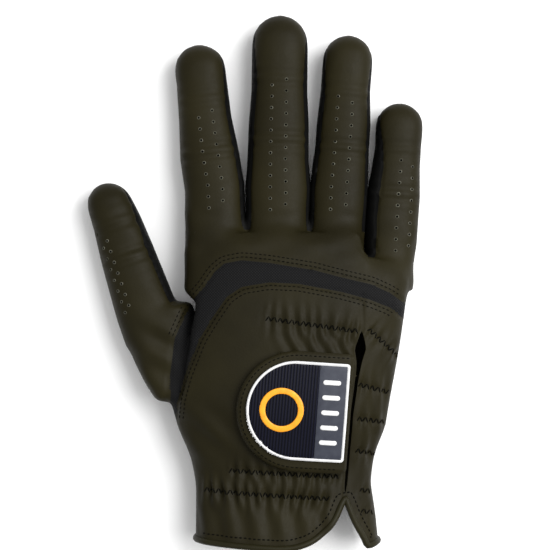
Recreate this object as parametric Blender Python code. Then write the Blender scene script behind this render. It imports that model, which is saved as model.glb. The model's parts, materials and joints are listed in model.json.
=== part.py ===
"""Right-hand golf glove, lying palm down. Sizes are millimetres, turned into metres as each mesh is made.

+X points to the little finger, +Y to the fingertips and +Z out of the back of the hand. The hand and each
digit are tubes with a flat underside, and every leather piece is a curved panel cut from one of them.
"""

from math import acos, ceil, cos, degrees, pi, radians, sin, sqrt

import bmesh
import bpy
import numpy as np
from mathutils import Vector

MM = 0.001

# Overall sizes
KNUCKLE_WIDTH = 94.0
PALM_LENGTH = 126.0
WEB_Y = 20.0
THUMB_EDGE_X = -28.0

# Material thicknesses and clearances
LEATHER = 1.2
LAYER_GAP = 0.45
SEAM_GAP = 0.5
BAND_GAP = 1.2
KNUCKLE_GAP = 0.7
FINGER_GAP = 1.0
BINDING = 2.0
BINDING_PROUD = 0.3
BINDING_DEPTH = 1.4
ELASTIC = 0.8
FASTENER = 0.8
LABEL = 0.5

# Cross-sections
TOP_ROUNDNESS = 2.4
UNDERSIDE_ROUNDNESS = 3.2
UNDERSIDE_FLAT = 1.06
PANEL_EDGE = 0.86
WALL_EDGE = 0.90
UNDERSIDE_ANGLE = 32.0
WALL_LAP_ANGLE = 3.0
DIGIT_BACK_ANGLE = 40.0
PALM_EDGE = 0.83
TIP_END_ANGLE = 83.0

# Hinges: heights of the knuckle axes above the ground and of the tab's axis above the back of the hand
KNUCKLE_AXIS_Z = 0.0
TAB_AXIS_LIFT = 4.2

# Moves the whole glove, so that its overall box is centred on the origin
CENTRING = Vector((-0.5, 0.29, 0.0))

# Closure tab and badge
TAB_LENGTH = 47.0
TAB_WIDTH = 48.0
TAB_ROOT_SHARE = 0.7234
TAB_BACK_SHARE = 0.5873
TAB_SLANT = 0.06
TAB_MARGIN = 3.0
TAB_END_HALF_WIDTH = 1.5
TAB_END_TRIM = 0.4
TAB_COLUMNS = 10
HOOK_LENGTH = 34.0
HOOK_WIDTH = 36.0
BADGE_ROOT_INSET = 3.0
BADGE_LENGTH = 40.0
BADGE_WIDTH = 40.0
BADGE_BORDER = 1.2
BADGE_THICKNESS = 0.8
STRIP_WIDTH = 11.0
MOTIF_FROM_ROOT = 28.7
MOTIF_RADIUS = 9.0
MOTIF_WALL = 2.4
MOTIF_CORNERS = 24

# Each finger: share of the knuckle width, length, base offset in Y, splay in degrees, tip half width, thickness
FINGERS = {
    "index": (0.262, 76.3, 0.0, 7.0, 9.7, 19.0),
    "middle": (0.274, 88.0, 0.0, -0.7, 10.7, 19.5),
    "ring": (0.245, 80.0, 0.0, -4.0, 9.5, 18.5),
    "little": (0.204, 64.7, -12.4, -3.3, 9.0, 16.5),
}
LITTLE_STEP = 1.4
FINGER_MIDDLE_SHARE = 0.35
FINGER_TIP_SHARE = 0.8
FINGER_BASE_SWELL = 0.8
FINGER_TIP_THINNING = 0.3
FINGER_TIP_LENGTH = 1.1

# Thumb: base, splay in degrees, half widths at base, middle and near the tip, length, thickness
THUMB_BASE_SHARES = (-0.1745, 0.2619)
THUMB_SPLAY = 18.9
THUMB_HALF_WIDTHS = (12.2, 10.9, 8.4)
THUMB_LENGTH = 55.0
THUMB_THICKNESS = 19.0
THUMB_SECTION_SHARES = (0.4, 0.75)
THUMB_BASE_SWELL = 1.0
THUMB_TIP_THINNING = 0.6
THUMB_TIP_LENGTH = 1.2
THUMB_CROTCH_MARGIN = 5.0

# Thumb root: its length down the hand, its outer side at the wrist end and part way, and its panels' borders
THUMB_ROOT_LENGTH = 36.0
THUMB_ROOT_OUTER = ((1.0, 7.3), (0.7, 10.2))
THUMB_ROOT_SECTIONS = 6
THUMB_BACK_ANGLES = (12.0, 148.0)
THUMB_SEAM_ANGLE = 4.0

# The hand's outline: share of the palm length back from the web, thumb side, little side, thickness
HAND_OUTLINE = (
    (0.0, 0.0, 0.984, 24.0),
    (0.14, 0.0, 0.974, 28.0),
    (0.24, -0.011, 0.949, 31.0),
    (0.3, -0.027, 0.936, 31.5),
    (0.4, -0.053, 0.918, 32.0),
    (0.52, -0.069, 0.884, 32.0),
    (0.62, -0.043, 0.869, 31.0),
    (0.7, 0.011, 0.823, 29.0),
    (0.78, 0.048, 0.788, 27.5),
    (0.89, 0.048, 0.814, 29.0),
    (1.0, 0.047, 0.829, 31.0),
)

# Lines on the back of the hand, as points: share of the knuckle width across, share of the palm length back
BAND_LOWER = (
    (-0.021, 0.421), (0.064, 0.325), (0.128, 0.262), (0.245, 0.187), (0.362, 0.168), (0.489, 0.173),
    (0.67, 0.198), (0.787, 0.222), (0.936, 0.286),
)
BAND_UPPER = (
    (-0.021, 0.317), (0.043, 0.222), (0.17, 0.107), (0.245, 0.098), (0.362, 0.106), (0.553, 0.129),
    (0.798, 0.175), (0.936, 0.237),
)
SLIT_BACK = (
    (0.489, 1.0), (0.596, 0.952), (0.654, 0.893), (0.681, 0.857), (0.706, 0.794), (0.715, 0.317),
    (0.717, 0.159),
)
SLIT_SIDE = (
    (0.793, 1.0), (0.763, 0.929), (0.739, 0.857), (0.75, 0.794), (0.766, 0.317), (0.771, 0.159),
)
SLIT_TOP = 0.857
KNUCKLE_ELASTIC_LINE = ((0.34, 0.282), (0.734, 0.321))
KNUCKLE_ELASTIC_HALF_WIDTH = 3.0
WRIST_ELASTIC = ((0.117, 0.628), (0.778, 0.873))
SIDE_ELASTIC = (0.73, 0.492)
SIDE_ELASTIC_ANGLES = (8.0, 5.0)
LABEL_CORNERS = ((0.298, 0.553), (0.833, 0.944))
CUFF_BINDING_ANGLES = (-275.0, 26.0)
LITTLE_SEAM_SHARE = 0.254

# Widest column of the panel behind the fingers, as a share of its width
WIDEST_COLUMN = 0.07


def across(share):
    """The x of a place given as a share of the knuckle width from the thumb side."""
    return THUMB_EDGE_X + share * KNUCKLE_WIDTH


def back(share):
    """The y of a place given as a share of the palm length from the web towards the wrist."""
    return WEB_Y - share * PALM_LENGTH


def line_of_x(points):
    """A line on the hand as y for each x."""
    return curve([(across(point[0]), back(point[1])) for point in points])


def line_of_y(points):
    """A line on the hand as x for each y."""
    return curve([(back(point[1]), across(point[0])) for point in points])


def curve(points):
    """A straight-line interpolation through (position, value) pairs."""
    positions = [point[0] for point in points]
    values = [point[1] for point in points]
    return lambda at: float(np.interp(at, positions, values))


def value(border, at):
    """A border is a number, or a function of the position along it."""
    return border(at) if callable(border) else border


def power(number, exponent):
    return abs(number) ** exponent


class Tube:
    """A straight tube with its flat side on the ground. Lengths run along its splayed axis from its base."""

    def __init__(self, base, splay, sections, tip=None):
        self.base = Vector((base[0], base[1], 0.0))
        self.along = Vector((-sin(radians(splay)), cos(radians(splay)), 0.0))
        self.across = Vector((cos(radians(splay)), sin(radians(splay)), 0.0))
        self.centre = curve([(s[0], s[1]) for s in sections])
        self.half_width = curve([(s[0], s[2]) for s in sections])
        self.half_height = curve([(s[0], s[3]) for s in sections])
        self.tip = tip

    def rows(self, start, end, count):
        """(position along, tip angle) of each row: even steps, then even angles round the tip."""
        if self.tip is None:
            return [(start + (end - start) * row / count, 0.0) for row in range(count + 1)]
        length, radius = self.tip
        straight = [(start + (length - radius - start) * row / count, 0.0) for row in range(count)]
        angles = [radians(TIP_END_ANGLE) * row / count for row in range(count + 1)]
        return straight + [(length - radius + radius * sin(angle), angle) for angle in angles]

    def point(self, along, tip_angle, angle, depth):
        """A point at an angle round the section (0 at +across, 90 on top), a depth below the surface."""
        shrink = cos(tip_angle)
        wide = (self.half_width(along) - depth) * shrink
        middle = self.half_height(along)
        high = (middle - depth) * shrink
        turn = cos(radians(angle))
        rise = sin(radians(angle))
        side = self.centre(along) + wide * power(turn, 2 / TOP_ROUNDNESS) * (1 if turn >= 0 else -1)
        if rise >= 0:
            height = middle + high * power(rise, 2 / TOP_ROUNDNESS)
        else:
            height = middle - high * min(1.0, UNDERSIDE_FLAT * power(rise, 2 / UNDERSIDE_ROUNDNESS))
        place = self.base + self.along * (along - depth * sin(tip_angle)) + self.across * side
        return Vector((place.x, place.y, height))

    def angle_at(self, along, x):
        """The angle on top of the tube at a distance x across from the base point."""
        share = (x - self.centre(along)) / self.half_width(along)
        share = max(-0.999, min(0.999, share))
        angle = degrees(acos(power(share, TOP_ROUNDNESS / 2)))
        return angle if share >= 0 else 180.0 - angle


def hand_tube():
    sections = []
    for share_back, thumb_side, little_side, thickness in reversed(HAND_OUTLINE):
        left = across(thumb_side)
        right = across(little_side)
        sections.append((back(share_back), (left + right) / 2, (right - left) / 2, thickness / 2))
    return Tube((0.0, 0.0), 0.0, sections)


def finger_tubes():
    tubes = {}
    left = THUMB_EDGE_X
    for name, (share, length, offset, splay, tip_half, thickness) in FINGERS.items():
        if name == "little":
            left += LITTLE_STEP
        slot = share * KNUCKLE_WIDTH
        base = (left + slot / 2, WEB_Y + offset)
        base_half = (slot - FINGER_GAP) / 2 / cos(radians(splay))
        sections = (
            (0.0, 0.0, base_half, thickness / 2 + FINGER_BASE_SWELL),
            (length * FINGER_MIDDLE_SHARE, 0.0, (base_half + tip_half) / 2, thickness / 2),
            (length * FINGER_TIP_SHARE, 0.0, tip_half, thickness / 2 - FINGER_TIP_THINNING),
        )
        tubes[name] = Tube(base, splay, sections, tip=(length, tip_half * FINGER_TIP_LENGTH))
        left += slot
    return tubes


def thumb_base():
    return across(THUMB_BASE_SHARES[0]), back(THUMB_BASE_SHARES[1])


def thumb_tube():
    base_half, middle_half, tip_half = THUMB_HALF_WIDTHS
    middle, near_tip = THUMB_SECTION_SHARES
    thick = THUMB_THICKNESS / 2
    sections = (
        (0.0, 0.0, base_half, thick + THUMB_BASE_SWELL),
        (THUMB_LENGTH * middle, 0.0, middle_half, thick),
        (THUMB_LENGTH * near_tip, 0.0, tip_half, thick - THUMB_TIP_THINNING),
    )
    return Tube(thumb_base(), THUMB_SPLAY, sections, tip=(THUMB_LENGTH, tip_half * THUMB_TIP_LENGTH))


def thumb_root_tube(hand):
    """From the thumb's base down the side of the hand, with its inner side open into the hand."""
    thumb = Tube(thumb_base(), THUMB_SPLAY, ((0, 0, 1, 1), (1, 0, 1, 1)))
    outer_places = [(-THUMB_ROOT_LENGTH * share, -side) for share, side in THUMB_ROOT_OUTER]
    outer = curve(outer_places + [(0, -THUMB_HALF_WIDTHS[0])])
    sections = []
    for step in range(THUMB_ROOT_SECTIONS + 1):
        along = -THUMB_ROOT_LENGTH + THUMB_ROOT_LENGTH * step / THUMB_ROOT_SECTIONS
        inner = THUMB_HALF_WIDTHS[0]
        for _ in range(20):
            place = thumb.base + thumb.along * along + thumb.across * inner
            edge = hand.centre(place.y) - hand.half_width(place.y)
            inner = min(THUMB_HALF_WIDTHS[0], inner + (edge - 2 * SEAM_GAP - place.x) / thumb.across.x)
        side = (outer(along) + inner) / 2
        half = (inner - outer(along)) / 2
        sections.append((along, side, half, THUMB_THICKNESS / 2 + THUMB_BASE_SWELL))
    return Tube(thumb_base(), THUMB_SPLAY, sections)


def material(name, colour, roughness, metallic=0.0):
    made = bpy.data.materials.new(name)
    made.use_nodes = True
    shader = made.node_tree.nodes["Principled BSDF"]
    shader.inputs["Base Color"].default_value = (*colour, 1.0)
    shader.inputs["Roughness"].default_value = roughness
    shader.inputs["Metallic"].default_value = metallic
    made.diffuse_color = (*colour, 1.0)
    return made


LOOKS = {
    "leather": ((0.045, 0.039, 0.022), 0.45),
    "palm_leather": ((0.040, 0.034, 0.020), 0.5),
    "side_leather": ((0.010, 0.010, 0.009), 0.55),
    "band_fabric": ((0.018, 0.019, 0.024), 0.7),
    "elastic": ((0.015, 0.015, 0.015), 0.8),
    "binding": ((0.040, 0.035, 0.021), 0.5),
    "hook_loop": ((0.020, 0.020, 0.020), 0.9),
    "badge_border": ((0.80, 0.80, 0.80), 0.4),
    "badge_face": ((0.008, 0.010, 0.030), 0.45),
    "badge_strip": ((0.045, 0.050, 0.070), 0.45),
    "badge_motif": ((0.90, 0.33, 0.02), 0.4),
    "label_cloth": ((0.70, 0.70, 0.68), 0.8),
}


def solid(name, outer, inner, look, pivot):
    """Closes two equal grids of points into one solid, with its origin at the pivot of its body."""
    work = bmesh.new()
    origin = Vector(pivot)
    rows = len(outer)
    columns = len(outer[0])
    above = [[work.verts.new((point - origin) * MM) for point in row] for row in outer]
    below = [[work.verts.new((point - origin) * MM) for point in row] for row in inner]
    for row in range(rows - 1):
        for column in range(columns - 1):
            for grid in (above, below):
                ring = (grid[row][column], grid[row][column + 1], grid[row + 1][column + 1], grid[row + 1][column])
                work.faces.new(ring[:3])
                work.faces.new((ring[0], ring[2], ring[3]))
    rim = [(row, 0) for row in range(rows)]
    rim += [(rows - 1, column) for column in range(1, columns)]
    rim += [(row, columns - 1) for row in range(rows - 2, -1, -1)]
    rim += [(0, column) for column in range(columns - 2, 0, -1)]
    for here, there in zip(rim, rim[1:] + rim[:1]):
        top_here = above[here[0]][here[1]]
        top_there = above[there[0]][there[1]]
        low_here = below[here[0]][here[1]]
        low_there = below[there[0]][there[1]]
        work.faces.new((top_here, top_there, low_there))
        work.faces.new((top_here, low_there, low_here))
    return finish(name, work, look, origin)


def finish(name, work, look, origin):
    """Turns a closed bmesh into the named node, with its material."""
    bmesh.ops.recalc_face_normals(work, faces=work.faces)
    mesh = bpy.data.meshes.new(name)
    work.to_mesh(mesh)
    work.free()
    mesh.shade_smooth()
    mesh.set_sharp_from_angle(angle=radians(40))
    made = bpy.data.objects.new(name, mesh)
    made.location = (origin + CENTRING) * MM
    colour, roughness = LOOKS[look]
    made.data.materials.append(material(name + "_finish", colour, roughness))
    bpy.context.collection.objects.link(made)
    return made


def panel(name, tube, angles, along, look, pivot=(0, 0, 0), depths=(0.0, LEATHER), columns=6, rows=4):
    """A panel round a tube, between two angles and two positions along it. Either border may be a function."""
    grids = []
    for depth in depths:
        grid = []
        for row in range(len(tube.rows(0.0, 1.0, rows))):
            line = []
            for column in range(columns + 1):
                share = column / columns
                start, end = along
                angle = 0.0
                for _ in range(12):
                    at, tip_angle = tube.rows(value(start, angle), value(end, angle), rows)[row]
                    low = value(angles[0], at)
                    angle = low + (value(angles[1], at) - low) * share
                line.append(tube.point(at, tip_angle, angle, depth))
            grid.append(line)
        grids.append(grid)
    return solid(name, grids[0], grids[1], look, pivot)


def sheet(name, hand, sides, ends, look, lifts, pivot=(0, 0, 0), top=True, columns=8, rows=5, shares=None):
    """A sheet that follows the hand's top or underside, between side borders x(y) and end borders y(x)."""
    shares = shares or [column / columns for column in range(columns + 1)]
    grids = []
    for lift in lifts:
        grid = []
        for row in range(rows + 1):
            line = []
            for share in shares:
                y = value(ends[0], 0.0)
                for _ in range(25):
                    x = value(sides[0], y) + (value(sides[1], y) - value(sides[0], y)) * share
                    low = value(ends[0], x)
                    y = low + (value(ends[1], x) - low) * row / rows
                angle = hand.angle_at(y, x)
                place = hand.point(y, 0.0, angle if top else -angle, 0.0)
                line.append(Vector((x, y, place.z + lift)))
            grid.append(line)
        grids.append(grid)
    return solid(name, grids[0], grids[1], look, pivot)


def hand_edge(hand, side):
    """The x of the back panels' outer border on one side of the hand."""
    return lambda y: hand.centre(y) + side * PANEL_EDGE * hand.half_width(y)


def web_line(tubes, hand):
    """The front border of the hand's panels, just behind every finger's base."""
    points = []
    for name, tube in tubes.items():
        half = tube.half_width(0.0)
        left = tube.base - tube.across * half
        right = tube.base + tube.across * half
        ring_inset = 2 * LITTLE_STEP if name == "ring" else 0.0
        points.append((left.x, left.y - KNUCKLE_GAP))
        points.append((right.x - ring_inset, right.y - KNUCKLE_GAP))
        if name == "ring":
            points.append((right.x - LITTLE_STEP / 4, tubes["little"].base.y - KNUCKLE_GAP))
    low = hand_edge(hand, -1)(WEB_Y)
    high = hand_edge(hand, 1)(WEB_Y)
    middle = [(x - low) / (high - low) for x, _ in points if low + 1 < x < high - 1]
    shares = [0.0] + middle + [1.0]
    return curve(points), shares


def refined(shares, widest):
    """The same column positions with others evenly between them, so that none is further apart than widest."""
    made = []
    for here, there in zip(shares, shares[1:]):
        parts = ceil((there - here) / widest)
        made += [here + (there - here) * part / parts for part in range(parts)]
    return made + [shares[-1]]


def wall_angle():
    return degrees(acos(power(WALL_EDGE, TOP_ROUNDNESS / 2)))


def build_hand(hand, tubes):
    front, shares = web_line(tubes, hand)
    cuff_y = back(1.0)
    left = hand_edge(hand, -1)
    right = hand_edge(hand, 1)
    band_low = line_of_x(BAND_LOWER)
    band_high = line_of_x(BAND_UPPER)
    slit_back = line_of_y(SLIT_BACK)
    slit_side = line_of_y(SLIT_SIDE)
    skin = (0.0, -LEATHER)
    wall = wall_angle()
    under = UNDERSIDE_ANGLE - WALL_LAP_ANGLE
    index = tubes["index"]
    index_y = index.base.y + index.half_width(0.0) * index.along.x - KNUCKLE_GAP
    little_y = tubes["little"].base.y - KNUCKLE_GAP - SEAM_GAP
    thumb_top = back(THUMB_BASE_SHARES[1]) + THUMB_CROTCH_MARGIN
    thumb_bottom = back(THUMB_BASE_SHARES[1]) - THUMB_ROOT_LENGTH
    lower_left = lambda y: hand.centre(y) - PALM_EDGE * hand.half_width(y)
    lower_right = lambda y: hand.centre(y) + PALM_EDGE * hand.half_width(y)
    sheet("palm_panel", hand, (lower_left, lower_right), (cuff_y, front), "palm_leather",
          (0.0, LEATHER), top=False, rows=8, shares=shares)
    sheet("finger_back_panel", hand, (left, right), (lambda x: band_high(x) + BAND_GAP, front), "leather",
          skin, rows=3, shares=refined(shares, WIDEST_COLUMN))
    sheet("knuckle_band", hand, (left, right), (band_low, band_high), "band_fabric", skin, columns=16, rows=2)
    sheet("back_panel", hand, (left, slit_back), (cuff_y, lambda x: band_low(x) - BAND_GAP), "leather",
          skin, columns=12, rows=10)
    panel("index_side_wall", hand, (180 - wall, 180 + under), (thumb_top, index_y), "leather", rows=3, columns=4)
    panel("wrist_side_wall", hand, (180 - wall, 180 + under), (cuff_y, thumb_bottom - SEAM_GAP), "leather",
          rows=5, columns=4)
    slit_angle = lambda y: hand.angle_at(y, slit_side(y))
    side_top = band_low(right(back(LITTLE_SEAM_SHARE))) - 2 * SEAM_GAP
    panel("little_side_panel", hand, (-under, slit_angle), (cuff_y, side_top), "leather", rows=8, columns=10)
    panel("knuckle_side_wall", hand, (-under, wall), (side_top + SEAM_GAP, little_y), "leather", rows=3, columns=4)
    panel("cuff_binding", hand, CUFF_BINDING_ANGLES, (cuff_y - BINDING - SEAM_GAP, cuff_y - SEAM_GAP), "binding",
          depths=(0.0, BINDING), rows=1, columns=24)
    slit_low = cuff_y + 2 * BINDING
    slit_high = back(SLIT_TOP)
    binding_depths = (BINDING_PROUD, -BINDING_DEPTH)
    sheet("slit_binding_back", hand, (lambda y: slit_back(y) + SEAM_GAP, lambda y: slit_back(y) + SEAM_GAP + BINDING),
          (slit_low, slit_high), "binding", binding_depths, columns=1, rows=6)
    sheet("slit_binding_side", hand,
          (lambda y: slit_side(y) - 2 * SEAM_GAP - BINDING, lambda y: slit_side(y) - 2 * SEAM_GAP),
          (slit_low, slit_high), "binding", binding_depths, columns=1, rows=6)
    under_skin = -LEATHER - LAYER_GAP
    inner = (under_skin, under_skin - ELASTIC)
    elastic_line = line_of_x(KNUCKLE_ELASTIC_LINE)
    elastic_sides = [across(point[0]) for point in KNUCKLE_ELASTIC_LINE]
    half = KNUCKLE_ELASTIC_HALF_WIDTH
    sheet("knuckle_elastic", hand, elastic_sides, (lambda x: elastic_line(x) - half, lambda x: elastic_line(x) + half),
          "elastic", inner, rows=2)
    wrist_sides = [across(share) for share in (WRIST_ELASTIC[0])]
    wrist_ends = [back(share) for share in reversed(WRIST_ELASTIC[1])]
    sheet("wrist_elastic", hand, wrist_sides, wrist_ends, "elastic", inner, rows=3)
    side_skin = LEATHER + 2 * LAYER_GAP
    low_angle, top_margin = SIDE_ELASTIC_ANGLES
    side_ends = [back(share) for share in SIDE_ELASTIC]
    panel("side_elastic", hand, (low_angle, lambda y: slit_angle(y) - top_margin), side_ends, "elastic",
          depths=(side_skin, side_skin + ELASTIC), rows=4, columns=8)
    label_floor = LEATHER + LAYER_GAP
    label_sides = [across(share) for share in LABEL_CORNERS[0]]
    label_ends = [back(share) for share in reversed(LABEL_CORNERS[1])]
    sheet("size_label", hand, label_sides, label_ends, "label_cloth", (label_floor, label_floor + LABEL),
          top=False, columns=4, rows=2)


def build_thumb_root(root):
    under = UNDERSIDE_ANGLE
    gap = THUMB_SEAM_ANGLE
    first, last = THUMB_BACK_ANGLES
    along = (-THUMB_ROOT_LENGTH, -KNUCKLE_GAP)
    panel("thumb_root_back", root, (first, last), along, "leather", rows=4, columns=8)
    panel("thumb_root_side", root, (last + gap, 180.0 + under - gap), along, "leather", rows=4, columns=4)
    panel("thumb_root_palm", root, (180.0 + under, 360.0 - first), along, "palm_leather", rows=4, columns=8)


def build_digit(name, tube):
    """Four panels that meet at the tip. They turn about the knuckle, so their origin is there."""
    pivot = (tube.base.x, tube.base.y, KNUCKLE_AXIS_Z)
    gap = degrees(SEAM_GAP / tube.half_height(0.0))
    along = (KNUCKLE_GAP / 2, 1.0)
    top = DIGIT_BACK_ANGLE
    under = UNDERSIDE_ANGLE
    parts = (
        ("back", (top, 180.0 - top), "leather", 5),
        ("palm_side", (180.0 + under, 360.0 - under), "palm_leather", 5),
        ("thumb_side_wall", (180.0 - top + gap, 180.0 + under - gap), "side_leather", 3),
        ("little_side_wall", (-under + gap, top - gap), "side_leather", 3),
    )
    for part, angles, look, columns in parts:
        panel(f"{name}_{part}", tube, angles, along, look, pivot=pivot, rows=4, columns=columns)


def tab_border(length, width, root_x, centre_y):
    """Lower and upper borders of a tab with a round end towards the thumb."""
    radius = width / 2
    end_x = root_x - length

    def half(x):
        inside = max(0.0, end_x + radius - x)
        return sqrt(max(0.0, radius * radius - inside * inside))

    low = lambda x: centre_y - TAB_SLANT * (x - root_x) - max(half(x), TAB_END_HALF_WIDTH)
    high = lambda x: centre_y - TAB_SLANT * (x - root_x) + max(half(x), TAB_END_HALF_WIDTH)
    return (end_x + TAB_END_TRIM, root_x), (low, high)


def tab_columns():
    """Column positions, closer together round the tab's end."""
    return [1.0 - cos(pi / 2 * step / TAB_COLUMNS) for step in range(TAB_COLUMNS + 1)]


def build_tab(hand):
    root = across(TAB_ROOT_SHARE)
    middle = back(TAB_BACK_SHARE)
    columns = tab_columns()
    lift = LAYER_GAP
    loop_sides, loop_ends = tab_border(HOOK_LENGTH, HOOK_WIDTH, root - 2 * TAB_MARGIN, middle)
    sheet("loop_pad", hand, loop_sides, loop_ends, "hook_loop", (lift + FASTENER, lift), shares=columns, rows=6)
    low_y = middle - TAB_WIDTH / 2
    low = hand.point(low_y, 0.0, hand.angle_at(low_y, root), 0.0)
    pivot = (root, low.y, low.z + TAB_AXIS_LIFT)
    lift += FASTENER + LAYER_GAP
    sheet("hook_pad", hand, loop_sides, loop_ends, "hook_loop", (lift + FASTENER, lift), pivot, shares=columns, rows=6)
    lift += FASTENER + LAYER_GAP
    sides, ends = tab_border(TAB_LENGTH, TAB_WIDTH, root, middle)
    sheet("tab_lining", hand, sides, ends, "elastic", (lift + ELASTIC, lift), pivot, shares=columns, rows=10)
    lift += ELASTIC + LAYER_GAP
    sheet("tab_leather", hand, sides, ends, "leather", (lift + LEATHER, lift), pivot, shares=columns, rows=10)
    lift += LEATHER + LAYER_GAP
    badge(hand, root - BADGE_ROOT_INSET, middle, lift, pivot, columns)
    motif(hand, root - MOTIF_FROM_ROOT, middle, lift + 2 * (BADGE_THICKNESS + LAYER_GAP), pivot)


def badge(hand, root, middle, lift, pivot, columns):
    """The badge's base, and on it the face at the round end and the plain strip at the root."""
    sides, ends = tab_border(BADGE_LENGTH, BADGE_WIDTH, root, middle)
    sheet("badge_base", hand, sides, ends, "badge_border", (lift + BADGE_THICKNESS, lift), pivot,
          shares=columns, rows=10)
    lift += BADGE_THICKNESS + LAYER_GAP
    face_root = root - BADGE_BORDER - STRIP_WIDTH - SEAM_GAP
    face_length = BADGE_LENGTH - 2 * BADGE_BORDER - STRIP_WIDTH - SEAM_GAP
    face_sides, face_ends = tab_border(face_length, BADGE_WIDTH - 2 * BADGE_BORDER, face_root, middle)
    sheet("badge_face", hand, face_sides, face_ends, "badge_face", (lift + BADGE_THICKNESS, lift), pivot,
          shares=columns, rows=10)
    half = BADGE_WIDTH / 2 - BADGE_BORDER
    strip_ends = (lambda x: middle - TAB_SLANT * (x - root) - half, lambda x: middle - TAB_SLANT * (x - root) + half)
    sheet("badge_strip", hand, (face_root + SEAM_GAP, root - BADGE_BORDER), strip_ends, "badge_strip",
          (lift + BADGE_THICKNESS, lift), pivot, columns=2, rows=6)


def motif(hand, centre_x, centre_y, lift, pivot):
    """A plain round ring standing on the badge."""
    corners = MOTIF_CORNERS
    work = bmesh.new()
    origin = Vector(pivot)
    loops = []
    steps = ((MOTIF_RADIUS, BADGE_THICKNESS), (MOTIF_RADIUS, 0.0),
             (MOTIF_RADIUS - MOTIF_WALL, 0.0), (MOTIF_RADIUS - MOTIF_WALL, BADGE_THICKNESS))
    for radius, height in steps:
        loop = []
        for corner in range(corners):
            angle = 2 * pi * corner / corners
            x = centre_x + radius * cos(angle)
            y = centre_y + radius * sin(angle)
            surface = hand.point(y, 0.0, hand.angle_at(y, x), 0.0)
            loop.append(work.verts.new((Vector((x, y, surface.z + lift + height)) - origin) * MM))
        loops.append(loop)
    for loop, following in zip(loops, loops[1:] + loops[:1]):
        for corner in range(corners):
            after = (corner + 1) % corners
            work.faces.new((loop[corner], loop[after], following[after]))
            work.faces.new((loop[corner], following[after], following[corner]))
    return finish("badge_motif", work, "badge_motif", origin)


def clear_scene():
    for old in list(bpy.data.objects):
        bpy.data.objects.remove(old, do_unlink=True)


def main():
    clear_scene()
    hand = hand_tube()
    tubes = finger_tubes()
    build_hand(hand, tubes)
    build_thumb_root(thumb_root_tube(hand))
    for name, tube in tubes.items():
        build_digit(name, tube)
    build_digit("thumb", thumb_tube())
    build_tab(hand)


main()
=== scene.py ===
"""The looks of a golf glove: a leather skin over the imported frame, with its seams, gathers and badge."""

import json
from math import cos, pi, radians, sin

import bmesh
import bpy
import numpy as np
from mathutils import Matrix, Vector
from mathutils.bvhtree import BVHTree


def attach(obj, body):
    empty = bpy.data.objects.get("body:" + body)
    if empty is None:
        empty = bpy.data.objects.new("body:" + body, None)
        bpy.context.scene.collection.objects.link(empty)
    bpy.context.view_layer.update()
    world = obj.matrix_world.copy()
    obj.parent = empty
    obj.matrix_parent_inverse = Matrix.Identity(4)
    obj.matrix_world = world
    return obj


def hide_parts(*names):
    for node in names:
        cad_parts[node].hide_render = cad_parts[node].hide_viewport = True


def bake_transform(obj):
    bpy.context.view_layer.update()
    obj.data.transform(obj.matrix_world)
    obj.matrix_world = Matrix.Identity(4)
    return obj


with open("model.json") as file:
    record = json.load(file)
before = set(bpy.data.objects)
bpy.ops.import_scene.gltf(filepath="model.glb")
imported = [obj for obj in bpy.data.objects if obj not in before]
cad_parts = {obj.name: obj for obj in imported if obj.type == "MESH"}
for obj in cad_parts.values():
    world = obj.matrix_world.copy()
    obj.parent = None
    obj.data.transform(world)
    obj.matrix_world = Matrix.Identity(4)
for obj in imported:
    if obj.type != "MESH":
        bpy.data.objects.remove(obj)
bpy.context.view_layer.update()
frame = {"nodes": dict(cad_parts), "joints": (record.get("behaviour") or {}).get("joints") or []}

MM = 0.001
DIGITS = ("thumb", "index", "middle", "ring", "little")
HAND_SKIN = (
    "palm_panel", "finger_back_panel", "knuckle_band", "back_panel", "index_side_wall", "wrist_side_wall",
    "little_side_panel", "knuckle_side_wall",
)
THUMB_ROOT = ("thumb_root_back", "thumb_root_side", "thumb_root_palm")

# Skin
VOXEL = 1.05
SMOOTHING = 22
REFILL = 0.55
LEATHER = 1.0
SEAM_DEPTH = 0.55
SEAM_REACH = 0.9
WALL_SEAM_DEPTH = 0.4
WALL_SEAM_REACH = 0.35
WALL_ANGLES = {
    "thumb_left": 30.0, "thumb_right": 37.0, "index_left": 30.0, "index_right": 33.0, "middle_left": 36.0,
    "middle_right": 30.0, "ring_left": 34.0, "ring_right": 30.0, "little_left": 52.0, "little_right": 30.0,
}
PALM_ANGLE = -30.0
PLAIN_WALLS = ("thumb_wall_left", "index_wall_left", "little_wall_right")
GUSSET_REACH = 18.0
SEAM_SLACK = 0.8

# How each digit differs from its straight frame: share of its length, shift across, extra half width
DIGIT_FIT = {
    "thumb": ((0, 0, 0), (0.4, 0, 0.1), (0.7, 0.2, 0.5), (0.94, -0.5, 0.9), (1, -0.4, 0.4)),
    "index": (
        (0, 0, 0), (0.23, 1.4, 0.6), (0.4, 1.0, 1.0), (0.6, 1.0, 0.1), (0.8, 1.4, 0.1), (0.95, 1.4, 0.8),
        (1, 1.2, 0.2),
    ),
    "middle": (
        (0, 0, 0), (0.19, 0, 1.1), (0.33, -0.2, 0.5), (0.5, -0.1, 0.6), (0.65, 0, 0), (0.95, 0, 0.6),
        (1, 0, 0.1),
    ),
    "ring": (
        (0, 0, 0), (0.2, -0.5, 0.9), (0.42, -0.3, 0.4), (0.55, -0.3, 0.6), (0.72, -0.5, 0), (0.95, -0.5, 0.6),
        (1, -0.5, 0.1),
    ),
    "little": (
        (0, -0.2, 0.3), (0.08, -0.8, 1.1), (0.2, -0.9, 1.3), (0.41, -0.8, 1.4), (0.6, -0.4, 0.4),
        (0.72, 0, 0), (0.94, 0, 0.6), (1, 0, 0.1),
    ),
}
WEB_SMOOTHING = 50

# Where the thumb's joint is in the plan numbers
THUMB_JOINT_AT = (-44.4, -13.0)

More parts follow.
